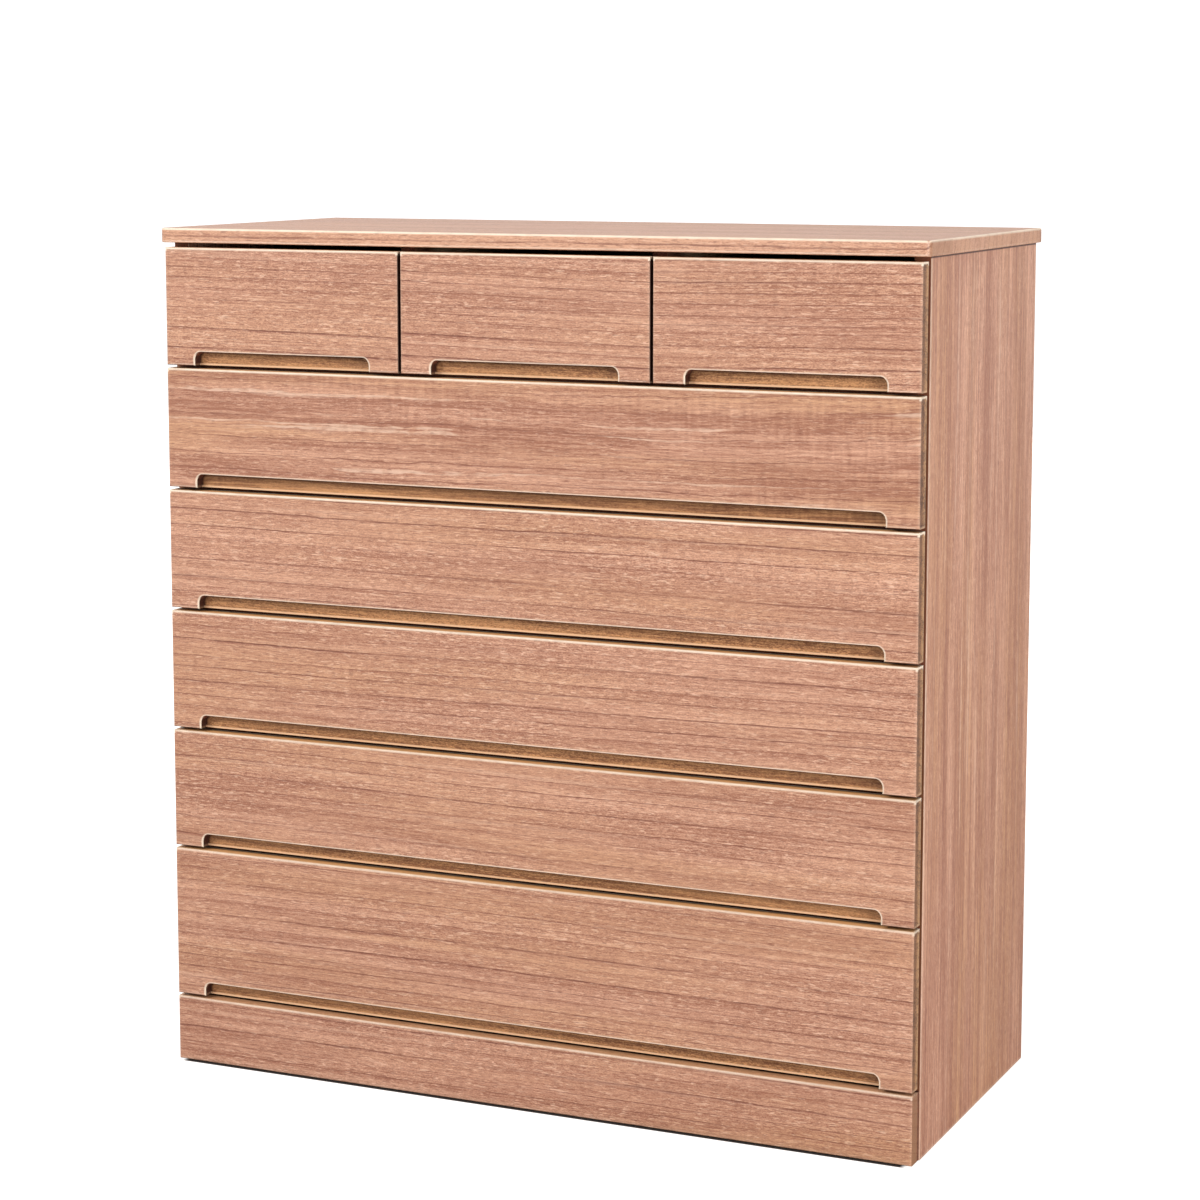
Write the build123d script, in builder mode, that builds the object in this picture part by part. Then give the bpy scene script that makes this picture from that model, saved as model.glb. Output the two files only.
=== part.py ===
from build123d import *
import os

os.makedirs("parts", exist_ok=True)

# Paulownia chest of drawers: three small drawers above four wide ones and a deep one.
# Millimetres. X runs across the chest, Y from the front (negative) to the back, Z up from the floor.

# Overall sizes
overall_width = 1000
overall_depth = 445

# Top board
top_thickness = 18
top_overhang = 6
top_corner_radius = 9
top_arris = 2.5

# Case boards
side_thickness = 20
rail_height = 20
rail_depth = 60
partition_thickness = 18
runner_width = 18
housing_depth = 6
back_thickness = 5
back_rebate = 8
tongue_thickness = 8
tongue_height = 7
tongue_stop = 30
stop_width = 14
stop_height = 20

# Plinth
plinth_height = 83
plinth_thickness = 24
plinth_inset = 1.5
plinth_rail_thickness = 20
plinth_rail_setback = 14
block_leg = 34
block_lift = 6

# Drawer fronts, from the row under the top board downwards; reveal is the gap between them,
# top_reveal the wider one under the top board
reveal = 4
top_reveal = 6
small_front_height = 146
wide_front_height = 149
deep_front_height = 190
small_count = 3
wide_count = 4
front_thickness = 20
front_standoff = 5
front_inset = 2

# Finger recess in the lower edge of each front, with a groove behind its lip
recess_margin = 40
recess_height = 17
recess_depth = 13
recess_radius = 9
recess_ease = 0.8
ease_angle = 45
finger_lip = 6
finger_rise = 8

# Drawer boxes; box_head is how far a front stands above its box, box_rear_gap the room behind it
wall = 12
box_rear_gap = 22
box_head = 13
bottom_thickness = 6
bottom_lift = 8
bottom_groove_depth = 5
front_groove_depth = 4
tail_length = 8
tail_neck = 7
tail_tip = 10
finger_count = 5

# Rounded edges and clearances
arris = 1.5
inner_arris = 1
joint_clearance = 0.1
panel_clearance = 0.2
side_clearance = 1
run_clearance = 0.3

# Planes across the depth of the chest
front_y = -overall_depth / 2
front_back_y = front_y + front_thickness
case_front_y = front_back_y + front_standoff
back_y = overall_depth / 2
back_inner_y = back_y - back_thickness
rail_back_y = case_front_y + rail_depth
box_rear_y = back_inner_y - box_rear_gap
box_depth = box_rear_y - front_back_y
case_mid_y = (case_front_y + back_y) / 2
bay_mid_y = (case_front_y + back_inner_y) / 2
bay_depth = back_inner_y - case_front_y

# Widths
case_half = overall_width / 2 - top_overhang
inner_half = case_half - side_thickness
housed_half = inner_half + housing_depth - joint_clearance
front_half = case_half - front_inset
small_front_width = (2 * front_half - (small_count - 1) * reveal) / small_count
small_pitch = small_front_width + reveal
partition_xs = [(column + 1 - small_count / 2) * small_pitch for column in range(small_count - 1)]

# Levels: the middle of the gap under each row of fronts, where a board or rail lies
row_heights = [deep_front_height] + [wide_front_height] * wide_count
levels = [plinth_height + reveal / 2]
for row_height in row_heights:
    levels.append(levels[-1] + row_height + reveal)
bottom_level = levels[0]
rail_levels = levels[1:-1]
shelf_level = levels[-1]
case_height = shelf_level + reveal / 2 + small_front_height + top_reveal
floor_of_case = bottom_level - rail_height / 2

# Thickness of the slots that boards and panels slide into
housing_height = rail_height + 2 * joint_clearance
groove_height = bottom_thickness + panel_clearance


def save(part, label):
    """Label a finished piece and write it to its own file."""
    part.label = label
    export_step(part, f"parts/{label}.step")


def upright_tongue(grow):
    """Outline in plan of the tongue on a side panel's upper edge, grown all round by the fit."""
    length = back_inner_y - case_front_y - tongue_stop
    with Locations((case_half - side_thickness / 2, back_inner_y - length / 2)):
        Rectangle(tongue_thickness + 2 * grow, length + 2 * grow)


# Side panels: one board each down to the floor, housed for every level, with a tongue for the top
with BuildPart() as right_side_panel:
    with BuildSketch(Plane.YZ.offset(inner_half)):
        with Locations((case_mid_y, case_height / 2)):
            Rectangle(back_y - case_front_y, case_height)
    extrude(amount=side_thickness)
    fillet(right_side_panel.edges().filter_by(Axis.Z).group_by(Axis.X)[-1], arris)
    with BuildSketch(Plane.YZ.offset(inner_half)):
        with Locations(*[(case_mid_y, level) for level in levels]):
            Rectangle(back_y - case_front_y, housing_height)
    extrude(amount=housing_depth, mode=Mode.SUBTRACT)
    with BuildSketch(Plane.XY):
        with Locations((inner_half + back_rebate / 2, back_inner_y + back_thickness / 2)):
            Rectangle(back_rebate, back_thickness)
    extrude(amount=case_height, mode=Mode.SUBTRACT)
    with BuildSketch(Plane.XY.offset(case_height)):
        upright_tongue(0)
    extrude(amount=tongue_height - joint_clearance)
save(right_side_panel.part, "right_side_panel")

with BuildPart() as left_side_panel:
    mirror(right_side_panel.part, about=Plane.YZ)
save(left_side_panel.part, "left_side_panel")

# Top board: rounded front corners, grooved underneath for the side panels and the partitions
with BuildPart() as top_board:
    with BuildSketch(Plane.XY.offset(case_height)) as top_outline:
        Rectangle(overall_width, overall_depth)
        fillet(top_outline.vertices().group_by(Axis.Y)[0], top_corner_radius)
    extrude(amount=top_thickness)
    fillet(top_board.faces().sort_by(Axis.Z)[-1].edges(), top_arris)
    fillet(top_board.faces().sort_by(Axis.Z)[0].edges(), arris)
    with BuildSketch(Plane.XY.offset(case_height)) as tongue_grooves:
        upright_tongue(joint_clearance)
        mirror(about=Plane.YZ)
    extrude(amount=tongue_height, mode=Mode.SUBTRACT)
    with BuildSketch(Plane.XY.offset(case_height)):
        with Locations(*[(x, bay_mid_y) for x in partition_xs]):
            Rectangle(partition_thickness + 2 * joint_clearance, bay_depth + 2 * joint_clearance)
    extrude(amount=housing_depth, mode=Mode.SUBTRACT)
    with BuildSketch(Plane.XY.offset(case_height)):
        with Locations((0, back_y - back_thickness / 2)):
            Rectangle(2 * (inner_half + back_rebate), back_thickness)
    extrude(amount=back_rebate, mode=Mode.SUBTRACT)
save(top_board.part, "top_board")


def housed_board(level):
    """Board across the whole depth of the case, let into the housings at a level."""
    with BuildPart() as board:
        with BuildSketch(Plane.XY.offset(level - rail_height / 2)):
            with Locations((0, bay_mid_y)):
                Rectangle(2 * housed_half, bay_depth)
        extrude(amount=rail_height)
        fillet(board.edges().filter_by(Axis.X).group_by(Axis.Y)[0], inner_arris)
    return board.part


with BuildPart() as bottom_board:
    add(housed_board(bottom_level))
save(bottom_board.part, "bottom_board")

# Shelf under the small drawers, grooved on top for the two partitions
with BuildPart() as shelf_board:
    add(housed_board(shelf_level))
    with BuildSketch(Plane.XY.offset(shelf_level + rail_height / 2)):
        with Locations(*[(x, bay_mid_y) for x in partition_xs]):
            Rectangle(partition_thickness + 2 * joint_clearance, bay_depth)
    extrude(amount=-housing_depth, mode=Mode.SUBTRACT)
save(shelf_board.part, "shelf_board")

# Partitions between the small drawers
partition_foot = shelf_level + rail_height / 2 - housing_depth + joint_clearance
partition_head = case_height + housing_depth - joint_clearance
for partition_x, hand in zip(partition_xs, ["left", "right"]):
    with BuildPart() as partition:
        with BuildSketch(Plane.XY.offset(partition_foot)):
            with Locations((partition_x, bay_mid_y)):
                Rectangle(partition_thickness, bay_depth)
        extrude(amount=partition_head - partition_foot)
    save(partition.part, f"{hand}_partition")

# Front rails between the wide drawers, numbered from the top
for number, level in enumerate(reversed(rail_levels), start=1):
    with BuildPart() as front_rail:
        with BuildSketch(Plane.XY.offset(level - rail_height / 2)):
            with Locations((0, case_front_y + rail_depth / 2)):
                Rectangle(2 * housed_half, rail_depth)
        extrude(amount=rail_height)
        fillet(front_rail.edges().filter_by(Axis.X).group_by(Axis.Y)[0], inner_arris)
    save(front_rail.part, f"front_rail_{number}")

# Runners behind the rails, let into the same housings
with BuildPart() as right_runners:
    with BuildSketch(Plane.YZ.offset(inner_half - runner_width)):
        with Locations(*[((rail_back_y + back_inner_y) / 2, level) for level in rail_levels]):
            Rectangle(back_inner_y - rail_back_y, rail_height)
    extrude(amount=housed_half - inner_half + runner_width)
save(right_runners.part, "right_runners")

with BuildPart() as left_runners:
    mirror(right_runners.part, about=Plane.YZ)
save(left_runners.part, "left_runners")

# Back panel in the rebates of the side panels and the top board
with BuildPart() as back_panel:
    panel_top = case_height + back_rebate - panel_clearance
    with BuildSketch(Plane.XZ.offset(-back_y)):
        with Locations((0, (floor_of_case + panel_top) / 2)):
            Rectangle(2 * (inner_half + back_rebate - panel_clearance), panel_top - floor_of_case)
    extrude(amount=back_thickness)
save(back_panel.part, "back_panel")

# Plinth board over the front edges of the side panels, and the rail that carries the back
with BuildPart() as plinth_board:
    with BuildSketch(Plane.XY):
        with Locations((0, case_front_y - plinth_thickness / 2)):
            Rectangle(2 * (case_half - plinth_inset), plinth_thickness)
    extrude(amount=plinth_height)
    fillet(plinth_board.faces().sort_by(Axis.Y)[0].edges(), arris)
save(plinth_board.part, "plinth_board")

plinth_rail_y = back_inner_y - plinth_rail_setback - plinth_rail_thickness
with BuildPart() as plinth_rail:
    with BuildSketch(Plane.XY):
        with Locations((0, plinth_rail_y + plinth_rail_thickness / 2)):
            Rectangle(2 * inner_half, plinth_rail_thickness)
    extrude(amount=floor_of_case)
save(plinth_rail.part, "plinth_rail")

# Three-cornered glue blocks where the plinth board and the rail meet the side panels
with BuildPart() as plinth_blocks:
    with BuildSketch(Plane.XY.offset(block_lift)):
        Polygon(
            (inner_half, case_front_y),
            (inner_half, case_front_y + block_leg),
            (inner_half - block_leg, case_front_y),
            align=None,
        )
        Polygon(
            (inner_half, plinth_rail_y),
            (inner_half, plinth_rail_y - block_leg),
            (inner_half - block_leg, plinth_rail_y),
            align=None,
        )
        mirror(about=Plane.YZ)
    extrude(amount=floor_of_case - block_lift)
save(plinth_blocks.part, "plinth_blocks")


def tail_outline(middle_x, grow):
    """Corners in plan of the dovetail at a drawer side's front end, grown by the fit."""
    neck_half = tail_neck / 2 + grow
    tip_half = tail_tip / 2 + grow
    tip_y = front_back_y - tail_length - grow
    return [
        (middle_x - neck_half, front_back_y),
        (middle_x + neck_half, front_back_y),
        (middle_x + tip_half, tip_y),
        (middle_x - tip_half, tip_y),
    ]


def drawer_front(middle_x, width, bottom_z, height, box):
    """Overlay front with its finger recess, dovetail sockets and a groove for the bottom."""
    box_left, box_right, box_low, box_high = box
    recess_length = width - 2 * recess_margin
    finger_width = recess_depth - finger_lip
    with BuildPart() as front:
        with BuildSketch(Plane.XZ.offset(-front_back_y)):
            with Locations((middle_x, bottom_z + height / 2)):
                Rectangle(width, height)
        extrude(amount=front_thickness)
        fillet(front.faces().sort_by(Axis.Y)[0].edges(), arris)
        with BuildSketch(Plane.XZ.offset(-front_y)):
            with Locations((middle_x, bottom_z)):
                RectangleRounded(recess_length, 2 * recess_height, recess_radius)
        extrude(amount=-recess_depth, mode=Mode.SUBTRACT)
        with BuildSketch(Plane.XZ.offset(-front_y)):
            with Locations((middle_x, bottom_z)):
                RectangleRounded(
                    recess_length + 2 * recess_ease,
                    2 * (recess_height + recess_ease),
                    recess_radius + recess_ease,
                )
        extrude(amount=-recess_ease, taper=ease_angle, mode=Mode.SUBTRACT)
        with BuildSketch(Plane.XY.offset(bottom_z)):
            with Locations((middle_x, front_y + finger_lip + finger_width / 2)):
                SlotOverall(recess_length - 2 * recess_radius, finger_width)
        extrude(amount=recess_height + finger_rise, mode=Mode.SUBTRACT)
        with BuildSketch(Plane.XY.offset(bottom_z)):
            Polygon(*tail_outline(box_left + wall / 2, joint_clearance), align=None)
            Polygon(*tail_outline(box_right - wall / 2, joint_clearance), align=None)
        extrude(amount=box_high + joint_clearance - bottom_z, mode=Mode.SUBTRACT)
        groove_half = (box_right - box_left) / 2 - wall + bottom_groove_depth
        with BuildSketch(Plane.XZ.offset(-front_back_y)):
            with Locations(((box_left + box_right) / 2, box_low + bottom_lift + groove_height / 2)):
                Rectangle(2 * groove_half, groove_height)
        extrude(amount=front_groove_depth, mode=Mode.SUBTRACT)
    return front.part


def back_foot(box_low):
    """Height of the drawer back's lower edge, which stands on the bottom panel."""
    return box_low + bottom_lift + groove_height


def finger_middles(box, first):
    """Heights of the middles of every second finger, counted from the drawer back's foot."""
    foot = back_foot(box[2])
    finger_height = (box[3] - foot) / finger_count
    return [foot + (index + 1 / 2) * finger_height for index in range(first, finger_count, 2)]


def drawer_right_side(box):
    """Drawer side: dovetail in front, grooved for the bottom, cut at the rear for the back's fingers."""
    box_left, box_right, box_low, box_high = box
    middle_x = box_right - wall / 2
    finger_height = (box_high - back_foot(box_low)) / finger_count
    with BuildPart() as side:
        with BuildSketch(Plane.XY.offset(box_low)):
            with Locations((middle_x, (front_back_y + box_rear_y) / 2)):
                Rectangle(wall, box_depth)
            Polygon(*tail_outline(middle_x, 0), align=None)
        extrude(amount=box_high - box_low)
        with BuildSketch(Plane.YZ.offset(box_right - wall)):
            with Locations(*[(box_rear_y, middle_z) for middle_z in finger_middles(box, 0)]):
                Rectangle(2 * (wall + joint_clearance), finger_height + 2 * joint_clearance)
        extrude(amount=wall, mode=Mode.SUBTRACT)
        with BuildSketch(Plane.XZ.offset(-box_rear_y)):
            with Locations((box_right - wall, box_low + bottom_lift + groove_height / 2)):
                Rectangle(2 * bottom_groove_depth, groove_height)
        extrude(amount=box_depth + tail_length, mode=Mode.SUBTRACT)
        fillet(side.edges().filter_by(Axis.Y).group_by(Axis.Z)[0], inner_arris)
    return side.part


def drawer_back(box):
    """Drawer back between the sides, with fingers through both of them."""
    box_left, box_right, box_low, box_high = box
    foot = back_foot(box_low)
    finger_height = (box_high - foot) / finger_count
    with BuildPart() as back:
        with BuildSketch(Plane.XZ.offset(-box_rear_y)):
            with Locations(((box_left + box_right) / 2, (foot + box_high) / 2)):
                Rectangle(box_right - box_left, box_high - foot)
            with Locations(
                *[(x, middle_z) for x in (box_left, box_right) for middle_z in finger_middles(box, 1)]
            ):
                Rectangle(2 * wall, finger_height, mode=Mode.SUBTRACT)
        extrude(amount=wall)
    return back.part


def drawer_bottom(box):
    """Bottom panel in the grooves of the front and the sides, running under the back."""
    box_left, box_right, box_low, box_high = box
    front_edge_y = front_back_y - front_groove_depth + panel_clearance
    panel_width = box_right - box_left - 2 * wall + 2 * (bottom_groove_depth - panel_clearance)
    with BuildPart() as bottom:
        with BuildSketch(Plane.XY.offset(box_low + bottom_lift + panel_clearance / 2)):
            with Locations(((box_left + box_right) / 2, (front_edge_y + box_rear_y) / 2)):
                Rectangle(panel_width, box_rear_y - front_edge_y)
        extrude(amount=bottom_thickness)
    return bottom.part


def save_drawer(name, middle_x, width, level, height, bay_left, bay_right):
    """Make and write the five pieces of the drawer that runs in a bay on the board at a level."""
    bottom_z = level + reveal / 2
    box = (
        bay_left + side_clearance,
        bay_right - side_clearance,
        level + rail_height / 2 + run_clearance,
        bottom_z + height - box_head,
    )
    save(drawer_front(middle_x, width, bottom_z, height, box), f"{name}_front")
    right_side = drawer_right_side(box)
    save(right_side, f"{name}_right_side")
    left_side = mirror(right_side, about=Plane.YZ.offset((box[0] + box[1]) / 2), mode=Mode.PRIVATE)
    save(left_side, f"{name}_left_side")
    save(drawer_back(box), f"{name}_back")
    save(drawer_bottom(box), f"{name}_bottom")


# Bays between the side panels and partitions, with a stop behind each rear corner of a drawer
small_walls = [-inner_half]
for partition_x in partition_xs:
    small_walls += [partition_x - partition_thickness / 2, partition_x + partition_thickness / 2]
small_walls.append(inner_half)
small_bays = list(zip(small_walls[0::2], small_walls[1::2]))
wide_bay = (-inner_half, inner_half)
bays = [(level, wide_bay) for level in levels[:-1]] + [(shelf_level, bay) for bay in small_bays]

with BuildPart() as drawer_stops:
    for level, (bay_left, bay_right) in bays:
        with BuildSketch(Plane.XY.offset(level + rail_height / 2)):
            stop_depth = box_rear_gap - run_clearance
            with Locations(
                (bay_left + stop_width / 2, back_inner_y - stop_depth / 2),
                (bay_right - stop_width / 2, back_inner_y - stop_depth / 2),
            ):
                Rectangle(stop_width, stop_depth)
        extrude(amount=stop_height)
save(drawer_stops.part, "drawer_stops")

# Drawers: the small ones from left to right, the wide ones from the top, then the deep one
for column, (hand, bay) in enumerate(zip(["left", "middle", "right"], small_bays)):
    column_x = (column - (small_count - 1) / 2) * small_pitch
    save_drawer(
        f"small_drawer_{hand}", column_x, small_front_width, shelf_level, small_front_height, *bay
    )
for number, level in enumerate(reversed(rail_levels), start=1):
    save_drawer(f"wide_drawer_{number}", 0, 2 * front_half, level, wide_front_height, *wide_bay)
save_drawer("deep_drawer", 0, 2 * front_half, bottom_level, deep_front_height, *wide_bay)
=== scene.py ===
import math

import bpy
import numpy as np
from mathutils import Euler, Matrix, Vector


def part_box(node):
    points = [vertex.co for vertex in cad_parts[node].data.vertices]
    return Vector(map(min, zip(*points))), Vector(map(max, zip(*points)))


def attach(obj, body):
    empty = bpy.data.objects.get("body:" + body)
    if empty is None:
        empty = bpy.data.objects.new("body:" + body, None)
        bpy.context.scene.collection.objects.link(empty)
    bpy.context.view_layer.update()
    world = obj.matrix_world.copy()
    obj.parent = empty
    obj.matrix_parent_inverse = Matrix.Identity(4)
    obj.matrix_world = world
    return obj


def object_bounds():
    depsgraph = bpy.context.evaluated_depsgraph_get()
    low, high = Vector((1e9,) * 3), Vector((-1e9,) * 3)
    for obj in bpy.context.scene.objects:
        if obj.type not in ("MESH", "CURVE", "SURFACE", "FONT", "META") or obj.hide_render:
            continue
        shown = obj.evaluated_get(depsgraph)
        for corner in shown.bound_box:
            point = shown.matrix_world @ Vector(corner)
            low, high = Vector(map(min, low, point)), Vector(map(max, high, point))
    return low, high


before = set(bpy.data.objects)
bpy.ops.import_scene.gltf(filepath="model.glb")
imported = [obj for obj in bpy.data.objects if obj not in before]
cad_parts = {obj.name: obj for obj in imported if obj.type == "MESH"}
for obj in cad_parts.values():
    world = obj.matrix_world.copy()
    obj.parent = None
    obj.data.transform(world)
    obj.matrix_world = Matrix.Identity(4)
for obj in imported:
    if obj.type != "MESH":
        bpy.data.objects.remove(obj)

bl_info = {
    "name": "Paulownia Chest Finish",
    "version": (1, 0, 0),
    "blender": (4, 5, 0),
    "location": "3D View > Sidebar > Chest",
    "description": "Wood, pegs, nails, studio light and camera for a paulownia chest of drawers",
    "category": "Object",
}

CAD_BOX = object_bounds()
MM = 0.001

DRAWERS = [f"small_drawer_{hand}" for hand in ("left", "middle", "right")]
DRAWERS += [f"wide_drawer_{number}" for number in (1, 2, 3, 4)]
DRAWERS += ["deep_drawer"]

# Turns that bring a board's length to X and its width to Y, for boards lying different ways
ALONG_X_UPRIGHT = (math.radians(-90), 0, 0)
ALONG_X_FLAT = (0, 0, 0)
ALONG_Y_UPRIGHT = (math.radians(-90), math.radians(-90), 0)
ALONG_Z = (0, math.radians(90), 0)

# How far each layer of the figure moves the grain between deep wood, 0, and pale wood, 1
YEAR_SHARE = 0.2
FIBRE_SHARE = 0.42
FLECK_SHARE = 0.8
MOTTLE_SHARE = 0.7
LATE_WOOD_SHARE = 0.16
PORE_SHARE = 0.42
GLINT_SHARE = 0.75
GLINT_WOOD = (1, 0.85, 0.68, 1)

# How far a normal points along an axis where a mask of what faces that way starts and is full
END_FACING = (0.7, 0.95)
UPWARD_FACING = (0.8, 0.97)
DOWNWARD_FACING = (-0.3, -0.7)
FORWARD_FACING = (-0.85, -0.98)

# Tones laid on the finished boards, painted shade and painted light among them: start and end
# of each fade, then its least and greatest share
EDGE_PALING_HEIGHT = (0.2, 0.75, 0.65, 1)
LIPPING_FADE = 5 * MM
BEHIND_LIPPING = 0.57
END_JOINT_SHADE = (7 * MM, 3 * MM)
SHADOW_UNDER_TOP = (3.2 * MM, 1.8 * MM, 0, 0.95)
RECESS_INSIDE = (1.0 * MM, 2.2 * MM)
RECESS_FOOT_HIGHLIGHT = (3.2 * MM, 1.5 * MM, 0, 0.85)
FOOT_HIGHLIGHT_SHARE = 0.35
END_PALING = (7 * MM, 15 * MM)
END_STREAKS = (0.5, 0.25, 0, 0.7)
FRONT_END_SHARE = 0.85
OUTER_END = (35 * MM, 25 * MM)
FRONT_LEDGE_LIGHT_AND_SHADE = (0.9, 11 * MM, 18 * MM)
FRONT_EDGES = (0.4, 0.1)
PLINTH_LEDGE_LIGHT = 0.4
PLINTH_REAR_SHADE = (9 * MM, 4 * MM)
PARTITION_SHADE = 75 * MM
PARTITION_FADE = (0, 45 * MM, 0, 0.9)
FACE_BUMP = 0.12 * MM
BARE_BUMP = 0.1 * MM

# Pegs: fingers of a drawer's rear corner, those that are pegged, and the bottom's bare ends
FINGER_COUNT = 5
PEGGED_FINGERS = (1, 3)
PEG_MARGIN = 30 * MM

# Studio: lights, and the painted contact shadow, a dark line on the floor along the plinth
KEY_PLACE = (-2.3, -3.2, 2.8)
FILL_PLACE = (3.75, -1.9, 0.95)
LIGHT_SIZE = (2.0, 1.6)
CONTACT_SHADOW_REACH = (7 * MM, 5 * MM)
CONTACT_SHADOW_ENDS = (4 * MM, 14 * MM)


def tint(red, green, blue):
    """Colour as a screen shows it, 0 to 255, made into the linear values that shaders take."""
    screen = np.array((red, green, blue)) / 255
    linear = np.where(screen <= 0.04045, screen / 12.92, ((screen + 0.055) / 1.055) ** 2.4)
    return tuple(float(value) for value in linear)


def opaque(colour):
    """Colour with full alpha, for a node's socket."""
    return (*colour, 1)


def colour_property(name, description, default):
    """Colour setting with a swatch in the sidebar."""
    return bpy.props.FloatVectorProperty(
        name=name, description=description, default=default, size=3, subtype="COLOR", min=0, max=1
    )


def share_property(name, description, default):
    """Setting from 0 to 1."""
    return bpy.props.FloatProperty(
        name=name, description=description, default=default, subtype="FACTOR", min=0, max=1
    )


def number_property(name, description, default, **limits):
    """Plain number, with its unit or limits."""
    return bpy.props.FloatProperty(name=name, description=description, default=default, **limits)


def length_property(name, description, default):
    """Length in metres."""
    return bpy.props.FloatProperty(
        name=name, description=description, default=default, unit="LENGTH", min=0, precision=4
    )


class FaceWoodSettings(bpy.types.PropertyGroup):
    """Finished paulownia of the fronts, the top, the side panels and the plinth."""

    pale: colour_property("Pale wood", "Early wood between the growth lines", tint(220, 169, 141))
    deep: colour_property("Deep wood", "Late wood and darker streaks", tint(160, 107, 84))
    warm: colour_property("Warm wood", "Golden tan patches", tint(204, 154, 114))
    line: colour_property("Growth line", "Thin line at the end of a year's growth", tint(112, 62, 50))
    core: colour_property("Core", "Wood inside the finger recesses", tint(212, 156, 106))
    core_deep: colour_property("Core streaks", "Darker streaks in that wood", tint(128, 82, 52))
    end: colour_property("End grain", "Darker wood at the boards' ends", tint(138, 94, 62))
    end_pale: colour_property("Pale end grain", "Rear of the fronts' ends", tint(190, 142, 98))
    # Painted shade in gaps, recess corners and under the top; the darker one also streaks end grain
    gap_shade: colour_property("Inner edge", "Shade painted on edges in a gap", tint(132, 76, 54))
    shade_and_streaks: colour_property("Gap shade", "Dark streaks and tone in the gaps", tint(60, 28, 18))
    # Painted light on up-facing edges seen in the gaps and at the foot of each recess
    ledge_light: colour_property("Upper edge", "Painted light on edges in the gaps", tint(240, 180, 120))
    # The pale eased edge is wear and a painted highlight, strongest on upper edges
    arris_wear_and_highlight: colour_property("Eased edge", "Pale edge, wear and painted highlight", tint(255, 238, 214))
    arris_width: length_property("Eased edge width", "Width of the pale edge", 3.4 * MM)
    arris_strength: share_property("Eased edge strength", "How clearly the pale edge shows", 0.8)
    # The pale recess lip is wear and a painted highlight
    lip_width: length_property("Recess lip width", "Width of the pale edge round a recess", 3 * MM)
    lip_strength: share_property("Recess lip strength", "How clearly a recess's lip shows", 0.9)
    # Painted shade at a recess's inner corners
    recess_shade: share_property("Recess shade", "How dark a recess's inner corners are", 0.95)
    recess_margin: length_property("Recess margin", "From a front's end to its finger recess", 40 * MM)
    recess_height: length_property("Recess height", "Height of a finger recess", 17 * MM)
    recess_radius: length_property("Recess corner", "Radius of a recess's upper corners", 9 * MM)


class BareWoodSettings(bpy.types.PropertyGroup):
    """Unfinished paulownia of the drawer boxes, rails, runners and inner boards."""

    pale: colour_property("Pale wood", "Early wood", tint(232, 208, 178))
    deep: colour_property("Deep wood", "Late wood and streaks", tint(203, 171, 136))
    warm: colour_property("Warm wood", "Golden patches", tint(224, 190, 150))
    line: colour_property("Growth line", "Thin line at the end of a year's growth", tint(160, 122, 92))
    ring_spacing: length_property("Growth line spacing", "Distance between growth lines", 9 * MM)
    line_strength: share_property("Growth line strength", "How dark the lines are", 0.55)


class PanelWoodSettings(bpy.types.PropertyGroup):
    """Thin veneered panel of the back and the drawer bottoms."""

    pale: colour_property("Pale veneer", "Early wood", tint(228, 199, 164))
    deep: colour_property("Deep veneer", "Late wood and streaks", tint(206, 171, 134))
    warm: colour_property("Warm veneer", "Golden patches", tint(220, 184, 142))
    line: colour_property("Growth line", "Thin line at the end of a year's growth", tint(176, 138, 104))
    ring_spacing: length_property("Growth line spacing", "Distance between growth lines", 16 * MM)
    line_strength: share_property("Growth line strength", "How dark the lines are", 0.35)


class FastenerSettings(bpy.types.PropertyGroup):
    """Wooden pegs of the drawer boxes and nails of the back panel."""

    peg_diameter: length_property("Peg diameter", "Diameter of a wooden peg", 5 * MM)
    peg_rise: length_property("Peg rise", "How far a peg's end stands proud", 0.35 * MM)
    peg_spacing: length_property("Peg spacing", "Distance between pegs under a drawer", 75 * MM)
    nail_diameter: length_property("Nail head diameter", "Diameter of a nail's head", 6 * MM)
    nail_rise: length_property("Nail head rise", "Height of a nail's head", 0.8 * MM)
    nail_inset: length_property("Nail inset", "Distance of the nails from the panel's edge", 4 * MM)
    nail_spacing: length_property("Nail spacing", "Distance between nails round the panel", 110 * MM)
    sunk: length_property("Sunk depth", "How deep a head is let into the wood", 0.6 * MM)
    peg_colour: colour_property("Peg", "End grain of a peg", tint(192, 152, 108))
    nail_colour: colour_property("Nail", "Steel of a nail's head", tint(150, 146, 140))


class StudioSettings(bpy.types.PropertyGroup):
    """Floor, lights and camera."""

    floor: colour_property("Floor", "Colour of the floor", tint(200, 199, 197))
    # Painted contact shadow: a dark line on the floor along the plinth's front
    contact: colour_property("Painted contact shadow", "Where the plinth meets the floor", tint(24, 20, 18))
    floor_size: length_property("Floor size", "Width of the floor", 16)
    room_light: number_property("Room light", "Strength from all round", 0.28, min=0)
    ceiling_light: number_property("Ceiling light", "Extra strength from above", 0.62, min=0)
    wall_light: number_property("Wall light", "Extra strength of the wall behind", 0.9, min=0)
    key_power: number_property("Key light", "Light at the front left", 110, unit="POWER")
    fill_power: number_property("Fill light", "Light at the front right", 95, unit="POWER")
    lens: number_property("Lens", "Focal length", 89.187, unit="CAMERA", min=10)
    camera_place: bpy.props.FloatVectorProperty(
        name="Camera place",
        description="Where the camera stands",
        default=(1.5168, -3.3760, 1.1917),
        subtype="TRANSLATION",
        unit="LENGTH",
    )
    camera_turn: number_property(
        "Camera turn", "Turn to the left from the front", math.radians(24.195), unit="ROTATION"
    )
    camera_dip: number_property(
        "Camera dip", "Angle below level", math.radians(7.3), unit="ROTATION"
    )
    camera_shift: number_property("Camera shift", "Upward shift of the picture", -0.08)


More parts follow.
